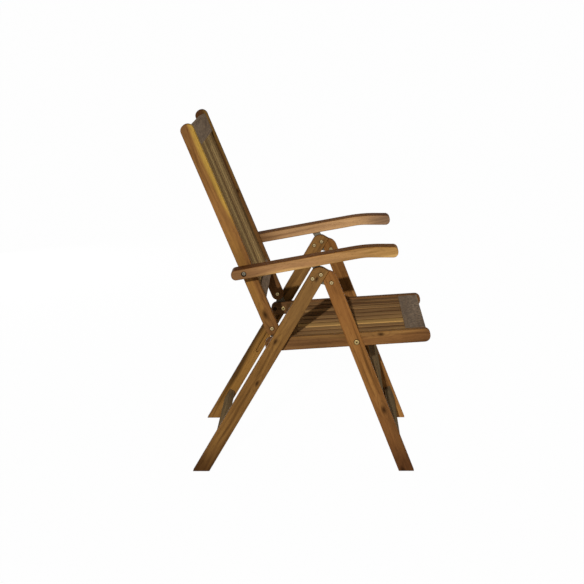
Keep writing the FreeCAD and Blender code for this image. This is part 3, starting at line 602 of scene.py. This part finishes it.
# %% Browns, zones and knots of the seat, the back and the arms
RAIL_FACE, RAIL_INNER = 243, 217   # counted as the legs' faces are
marks["seat_rail"] = dict(
    browns=("#5a3a1d", "#835a33", "#9f7340"), seed=3.0, knots=[(-RAIL_FACE, 148, 12, 6)],
    zones=[("#553b22", 0.0, 0.7, BELOW, BEYOND, *ALL),     # left: darker all over
           ("#664429", 0.85, 0.4, BELOW, 25, *ALL),        # both: dark front end
           ("#6d4d30", 0.6, 0.6, 280, BEYOND, *ALL),       # both: duller rear half
           ("#96703f", 0.5, 0.0, 60, 420, 10, 90),         # right: paler upper edge
           ("#7f5936", 0.0, 0.9, 60, 420, 10, 90),         # left: paler upper edge
           ("#4a2f1a", 0.6, 0.0, 320, 400, -7, 1),         # right: one dark streak
           ("#4f3820", 0.0, 0.8, 40, 460, 26, 90)])        # left: dark line at the very top
marks["back_stile"] = dict(
    browns=("#5b3b1c", "#885d32", "#a47940"), seed=4.0,
    knots=[(-RAIL_FACE, 67, -2, 8), (RAIL_INNER, 388, 13, 5)],
    zones=[("#4d301c", 0.0, 0.85, BELOW, BEYOND, *ALL),    # left: darker all over
           ("#9e6e3c", 0.8, 0.0, 270, 470, *ALL),          # right: paler middle
           ("#6f4b30", 0.8, 0.0, 650, BEYOND, -90, 4),     # right: duller top
           ("#c99f49", 0.9, 0.2, 380, BEYOND, 14, 90),     # both: gold sapwood along the front edge
           ("#a5763b", 0.7, 0.0, 60, 330, -90, 6),         # right: paler lower half
           ("#a0743a", 0.0, 0.2, 60, 330, 8, 90),          # left: paler front edge
           ("#7a5330", 0.8, 0.8, BELOW, 40, *ALL)])        # both: browner lower end
marks["armrest"] = dict(
    # the arms' top tint is painted shade on their upper faces
    browns=("#84602f", "#b58754", "#cfa266"), seed=5.0, top=("#a58b70", 0.9),
    zones=[("#c69e74", 0.0, 0.5, BELOW, BEYOND, *ALL),     # left: paler all over
           ("#816551", 0.0, 0.8, BELOW, 60, *ALL),         # left: dull front end
           ("#b3894a", 0.6, 0.0, BELOW, 80, *ALL),         # right: golden front end
           ("#c69563", 0.7, 0.0, 240, BEYOND, *ALL),       # right: warmer rear half
           ("#8a5f45", 0.35, 0.4, 170, 520, -4, 6),        # both: one dark streak
           ("#d8ad6c", 0.85, 0.0, BELOW, 560, -90, -9),    # right: pale lower edge
           ("#664527", 0.0, 0.9, 400, BEYOND, *ALL),       # left: dark rear end
           ("#805a38", 0.9, 0.0, 400, BEYOND, *ALL)])      # right: dark rear end
for bar, mark in marks.items():
    wood = acacia(f"oiled_acacia_{bar}s", (radians(leans[bar]), 0, 0), origins[bar], bolts=bolts[bar],
                  satin=SATIN, **mark)
    for hand in ("left", "right"):
        nodes[f"{bar}_{hand}"].material_slots[0].material = wood

# %% [markdown]
# ## Boards and stretchers
#
# The front board of the seat and the rails of the back are pale and mottled with grey: they were planed from
# drier planks and took less oil. The seat's rear board is warmer, and the stretchers are olive. They could
# share the bars' browns, but in the real chair most of them stand out as cooler pieces. Their grain is
# turned a quarter about the vertical, so that it lies across the chair.

# %% Wood of the cross boards
ACROSS = (0, 0, radians(90))
board_wood = acacia("oiled_acacia_boards", ACROSS, Vector(), ("#7d654e", "#b3997e", "#d0b89c"), seed=6.0,
                    streaks=0.45, mottle=("#7f7061", 0.9))
warm_board_wood = acacia("oiled_acacia_warm_boards", ACROSS, Vector(), ("#5a3f26", "#86623c", "#a37c4e"),
                         seed=9.0)
stretcher_wood = acacia("oiled_acacia_stretchers", ACROSS, Vector(), ("#55452f", "#7f6a4b", "#9d875f"),
                        seed=10.0, mottle=("#70624e", 0.6))
cross_boards = {board_wood: ["seat_front_board", "back_top_rail", "back_bottom_rail"],
                warm_board_wood: ["seat_rear_board"],
                stretcher_wood: ["rear_stretcher", "front_upper_stretcher", "front_lower_stretcher"]}
for wood, boards in cross_boards.items():
    for board in boards:
        nodes[board].material_slots[0].material = wood
    print(wood.name, boards)

# %% [markdown]
# ## One slat
#
# A slat is a planed strip with rounded long edges and a thin tongue at both ends that sits in a groove of the
# boards. It could be a scaled cube with a bevel, but then the rounding would change with the slat's size. A
# Geometry Nodes tree sweeps a rounded profile along the slat's length and joins the tongue to it.

# %% The strip and its tongues
MOVE, VECTOR_OF = "GeometryNodeTransform", "ShaderNodeCombineXYZ"
SLAT_ROUND = 2.5 * MM
ROUND_STEPS = 4            # points round each edge


def tongued_slat(tree, given):
    """One slat that stands on its end, with its middle at the origin."""
    outline = add(tree, "GeometryNodeCurvePrimitiveQuadrilateral",
                  {"Width": given["Width"], "Height": given["Thickness"]})
    outline = add(tree, "GeometryNodeFilletCurve",
                  {"Curve": outline[0], "Radius": given["Round"], "Count": ROUND_STEPS}, mode="POLY")
    tip = add(tree, VECTOR_OF, {"Z": given["Length"]})
    line = add(tree, "GeometryNodeCurvePrimitiveLine", {"End": tip[0]})
    strip = add(tree, "GeometryNodeCurveToMesh",
                {"Curve": line[0], "Profile Curve": outline[0], "Fill Caps": True})
    half = add(tree, MATH, [given["Length"], -0.5], operation="MULTIPLY")
    down = add(tree, VECTOR_OF, {"Z": half[0]})
    strip = add(tree, MOVE, {"Geometry": strip[0], "Translation": down[0]})
    rounding = add(tree, MATH, [given["Round"], 2.0], operation="MULTIPLY")
    flat = add(tree, MATH, [given["Width"], rounding[0]], operation="SUBTRACT")
    reach = add(tree, MATH, [given["Tongue Reach"], 2.0, given["Length"]], operation="MULTIPLY_ADD")
    size = add(tree, VECTOR_OF, [flat[0], given["Tongue Thickness"], reach[0]])
    tongue = add(tree, "GeometryNodeMeshCube", {"Size": size[0]})
    return add(tree, "GeometryNodeMeshBoolean", {"Mesh 2": [tongue[0], strip[0]]}, operation="UNION",
               solver="EXACT")[0]


print("slat edges rounded by", SLAT_ROUND / MM, "mm")

# %% [markdown]
# ## A row of slats
#
# Nine slats fill the seat and nine the back. They could be drawn one at a time, but they follow one rule, so
# the tree repeats the strip across the chair, gives each one a tone of its own and leans the row as the seat
# or the back leans. The frame's own slats stay for collision.

# %% The row
ROW_INPUTS = {"Count": "Int", "Pitch": "Float", "Width": "Float", "Thickness": "Float", "Length": "Float",
              "Tongue Reach": "Float", "Tongue Thickness": "Float", "Round": "Float", "Middle": "Vector",
              "Lean": "Float", "Seed": "Int", "Wood": "Material"}
slat_rows = bpy.data.node_groups.new("slat_row", "GeometryNodeTree")
for label, kind in ROW_INPUTS.items():
    slat_rows.interface.new_socket(name=label, in_out="INPUT", socket_type="NodeSocket" + kind)
slat_rows.interface.new_socket(name="Geometry", in_out="OUTPUT", socket_type="NodeSocketGeometry")
given = add(slat_rows, "NodeGroupInput")
steps = add(slat_rows, MATH, [given["Count"], 1.0], operation="SUBTRACT")
half_pitch = add(slat_rows, MATH, [given["Pitch"], -0.5], operation="MULTIPLY")
first = add(slat_rows, MATH, [steps[0], half_pitch[0]], operation="MULTIPLY")
start = add(slat_rows, VECTOR_OF, [first[0]])
step = add(slat_rows, VECTOR_OF, [given["Pitch"]])
points = add(slat_rows, "GeometryNodeMeshLine",
             {"Count": given["Count"], "Start Location": start[0], "Offset": step[0]})
row = add(slat_rows, "GeometryNodeInstanceOnPoints",
          {"Points": points[0], "Instance": tongued_slat(slat_rows, given)})
tone = add(slat_rows, "FunctionNodeRandomValue", {"Seed": given["Seed"]}, data_type="FLOAT")
row = add(slat_rows, "GeometryNodeStoreNamedAttribute",
          {"Geometry": row[0], "Name": "slat_tone", "Value": tone[1]}, data_type="FLOAT", domain="INSTANCE")
turned = add(slat_rows, VECTOR_OF, [given["Lean"]])
lean = add(slat_rows, "FunctionNodeEulerToRotation", [turned[0]])
row = add(slat_rows, MOVE, {"Geometry": row[0], "Translation": given["Middle"], "Rotation": lean[0]})
row = add(slat_rows, "GeometryNodeRealizeInstances", {"Geometry": row[0]})
row = add(slat_rows, "GeometryNodeSetMaterial", {"Geometry": row[0], "Material": given["Wood"]})
add(slat_rows, "NodeGroupOutput", [row[0]])
print("slat tree nodes:", len(slat_rows.nodes))

# %% [markdown]
# ## The sizes of a slat
#
# Each row takes its sizes from the middle slat of the frame, so that both agree to the millimetre. The sizes
# could be repeated here as numbers, but a number that is measured can't fall behind. The slat's points are
# turned into its own directions first, and its tongues are what stands out at the ends.

# %% Measure a slat
MIDDLE_SLAT = 5
NEAR = 0.1 * MM            # points this near to an outermost one lie on the same face


def slat_sizes(node, lean):
    """A slat's middle and its sizes, read in the slat's own directions."""
    points = along_bar([v.co for v in nodes[node].data.vertices], lean)
    low, high = [Vector([f(p[i] for p in points) for i in range(3)]) for f in (min, max)]
    outer = [p.y for p in points if p.z > high.z - NEAR]
    tongue = [p.z for p in points if p.y > high.y - NEAR]
    length = max(outer) - min(outer)
    middle = Matrix.Rotation(radians(lean), 3, "X") @ ((low + high) / 2)
    return {"Middle": (0, middle.y, middle.z), "Width": high.x - low.x, "Thickness": high.z - low.z,
            "Length": length, "Tongue Reach": (high.y - low.y - length) / 2,
            "Tongue Thickness": max(tongue) - min(tongue)}


print("seat slat length:", round(slat_sizes(f"seat_slat_{MIDDLE_SLAT}", SEAT)["Length"] / MM, 1), "mm")

# %% [markdown]
# ## The seat and the back
#
# The seat's slats are warm brown with dark painted shade on their sides, and the back's are more olive, with
# lighter painted shade on their sides. Both rows could stay on the modifier, but a plain mesh for each body
# exports as it is seen, so each row is evaluated once, kept as a mesh and shaded smooth round its edges.

# %% Make the rows
SLAT_COUNT = 9
SHARP = radians(40)        # edges that turn by more than this stay sharp


def slat_row(name, prefix, lean, body, wood, seed):
    """One mesh with a row of slats that stands for the frame's slats."""
    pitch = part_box(f"{prefix}_{MIDDLE_SLAT - 1}")[0][0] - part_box(f"{prefix}_{MIDDLE_SLAT}")[0][0]
    values = dict(slat_sizes(f"{prefix}_{MIDDLE_SLAT}", lean), Count=SLAT_COUNT, Pitch=pitch,
                  Round=SLAT_ROUND, Lean=radians(lean - 90), Seed=seed, Wood=wood)
    maker = bpy.data.objects.new(name + "_maker", bpy.data.meshes.new(name + "_maker"))
    scene.collection.objects.link(maker)
    modifier = maker.modifiers.new("slat_row", "NODES")
    modifier.node_group = slat_rows
    for socket in slat_rows.interface.items_tree:
        if socket.in_out == "INPUT":
            modifier[socket.identifier] = values[socket.name]
    mesh = bpy.data.meshes.new_from_object(maker.evaluated_get(bpy.context.evaluated_depsgraph_get()))
    bpy.data.objects.remove(maker)
    mesh.name = name
    mesh.shade_smooth()
    mesh.set_sharp_from_angle(angle=SHARP)
    row = bpy.data.objects.new(name, mesh)
    scene.collection.objects.link(row)
    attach(row, body)
    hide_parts(*[f"{prefix}_{i + 1}" for i in range(SLAT_COUNT)])
    print(name, "faces:", len(mesh.polygons), "width:", round(values["Width"] / MM, 1), "mm")


# the sides tints are painted shade in the gaps between the slats
seat_slat_wood = acacia("oiled_acacia_seat_slats", (radians(SEAT), 0, 0), Vector(),
                        ("#7b5a3b", "#ad8558", "#cfa362"), seed=7.0, streaks=0.85, tone_by_slat=0.6,
                        fine=0.7, sides=("#605140", 0.92))
back_slat_wood = acacia("oiled_acacia_back_slats", (radians(BACK), 0, 0), Vector(),
                        ("#735938", "#a4855a", "#c8a871"), seed=8.0, streaks=0.25, tone_by_slat=0.6,
                        fine=0.05, sides=("#b3a596", 0.9))
slat_row("seat_slats", "seat_slat", SEAT, "seat", seat_slat_wood, seed=528)
slat_row("back_slats", "back_slat", BACK, "back", back_slat_wood, seed=45)

# %% [markdown]
# ## Metal and nylon
#
# The hinge plates and the notched tracks are zinc-plated sheet steel, which dulls to a patchy grey, and the
# plates at the foot of the back are a darker copy, with painted shade. The seat's large pivot bolts have
# yellow zinc, like pale brass, the small bolts a lighter zinc, and the arms' bolts are as dull as the plates.
# The bushes are moulded nylon. Plain grey and plain yellow would do from afar, but plating shows soft
# blotches and fine scratches close up. The sockets and the rings round the heads get painted shade where
# ambient occlusion finds a recess.

# %% Zinc, yellow zinc and nylon
SCRATCH = 0.8 * MM         # fine scratches, drawn coarse enough to show
SCRATCH_SHARE, SCRATCH_DEPTH = 0.25, 0.08 * MM
# painted shade in corners and recesses: its colour and how far it reaches
RECESS_SHADE, RECESS_SHADE_REACH = "#1c150c", 4 * MM
SHADE_FULL, SHADE_GONE = 0.55, 0.97   # how open a place is
BLOTCH_FROM, BLOTCH_FULL = 0.3, 0.7


def plated(name, clean, dull, rough_low, rough_high, blotch, recess_shade_share, metallic=1.0):
    """A plated or moulded surface with blotches of this size, fine scratches and painted shade in its
    corners.
    """
    material = empty_material(name)
    tree = material.node_tree
    coords = add(tree, "ShaderNodeTexCoord")["Object"]
    patches = add(tree, "ShaderNodeTexNoise", {"Vector": coords, "Scale": 1 / blotch, "Detail": 4.0})[0]
    fine = add(tree, "ShaderNodeTexNoise", {"Vector": coords, "Scale": 1 / SCRATCH, "Detail": 2.0})[0]
    colour = add(tree, MIX, {SHARE: patches, BASE: linear(clean), TINT: linear(dull)}, **RGBA)[MIXED]
    rough = add(tree, RANGE, [patches, BLOTCH_FROM, BLOTCH_FULL, rough_low, rough_high])[0]
    bump = add(tree, "ShaderNodeBump", {"Height": fine, "Strength": SCRATCH_SHARE,
                                        "Distance": SCRATCH_DEPTH})[0]
    # painted shade where ambient occlusion finds a corner
    open_sky = add(tree, "ShaderNodeAmbientOcclusion", {"Distance": RECESS_SHADE_REACH}, samples=8)["AO"]
    painted_shade = add(tree, RANGE, [open_sky, SHADE_FULL, SHADE_GONE, recess_shade_share, 0.0])[0]
    colour = add(tree, MIX, {SHARE: painted_shade, BASE: colour, TINT: linear(RECESS_SHADE)}, **RGBA)[MIXED]
    shader = add(tree, "ShaderNodeBsdfPrincipled", {"Base Color": colour, "Metallic": metallic,
                                                    "Roughness": rough, "Normal": bump})[0]
    add(tree, "ShaderNodeOutputMaterial", {"Surface": shader})
    return material


finishes = {
    # plates, tracks and arm bolts: grey and patchy
    "zinc_plate": plated("zinc_plated_steel", "#7d7565", "#5a5244", 0.38, 0.6, 6 * MM, recess_shade_share=0.35),
    # pivot bolts, nuts, washers and pins: pale brass, with painted shade in the sockets
    "yellow_zinc": plated("yellow_zinc_steel", "#b09a68", "#7a653d", 0.3, 0.5, 3 * MM, recess_shade_share=0.95),
    # plates at the foot of the back: a darker copy of the zinc, painted shade, with little shine
    "back_plate": plated("shade_darkened_zinc_steel", "#4d4536", "#352d22", 0.5, 0.7, 6 * MM, recess_shade_share=0.6),
    # small bolts: the brightest metal, a little warm
    "bolt": plated("clear_zinc_steel", "#bda77a", "#86724e", 0.3, 0.5, 3 * MM, recess_shade_share=0.95),
    # bushes: dark grey with a soft shine
    "nylon": plated("moulded_nylon", "#2b2a28", "#3a3835", 0.4, 0.55, 4 * MM, recess_shade_share=0.5, metallic=0.0),
}
own_finish = {
    "back_hinge_plate_left": "back_plate", "back_hinge_plate_right": "back_plate",
    "leg_plate_bolts": "bolt", "leg_hinge_bolts": "bolt",
    "back_plate_bolts": "bolt", "back_hinge_bolts": "bolt",
    "arm_bolt_left": "zinc_plate", "arm_bolt_right": "zinc_plate",
}
dressed = 0
for name, node in nodes.items():
    for slot in node.material_slots:
        if slot.material and slot.material.name in finishes:
            slot.material = finishes[own_finish.get(name, slot.material.name)]
            dressed += 1
print("metal and nylon pieces:", dressed)
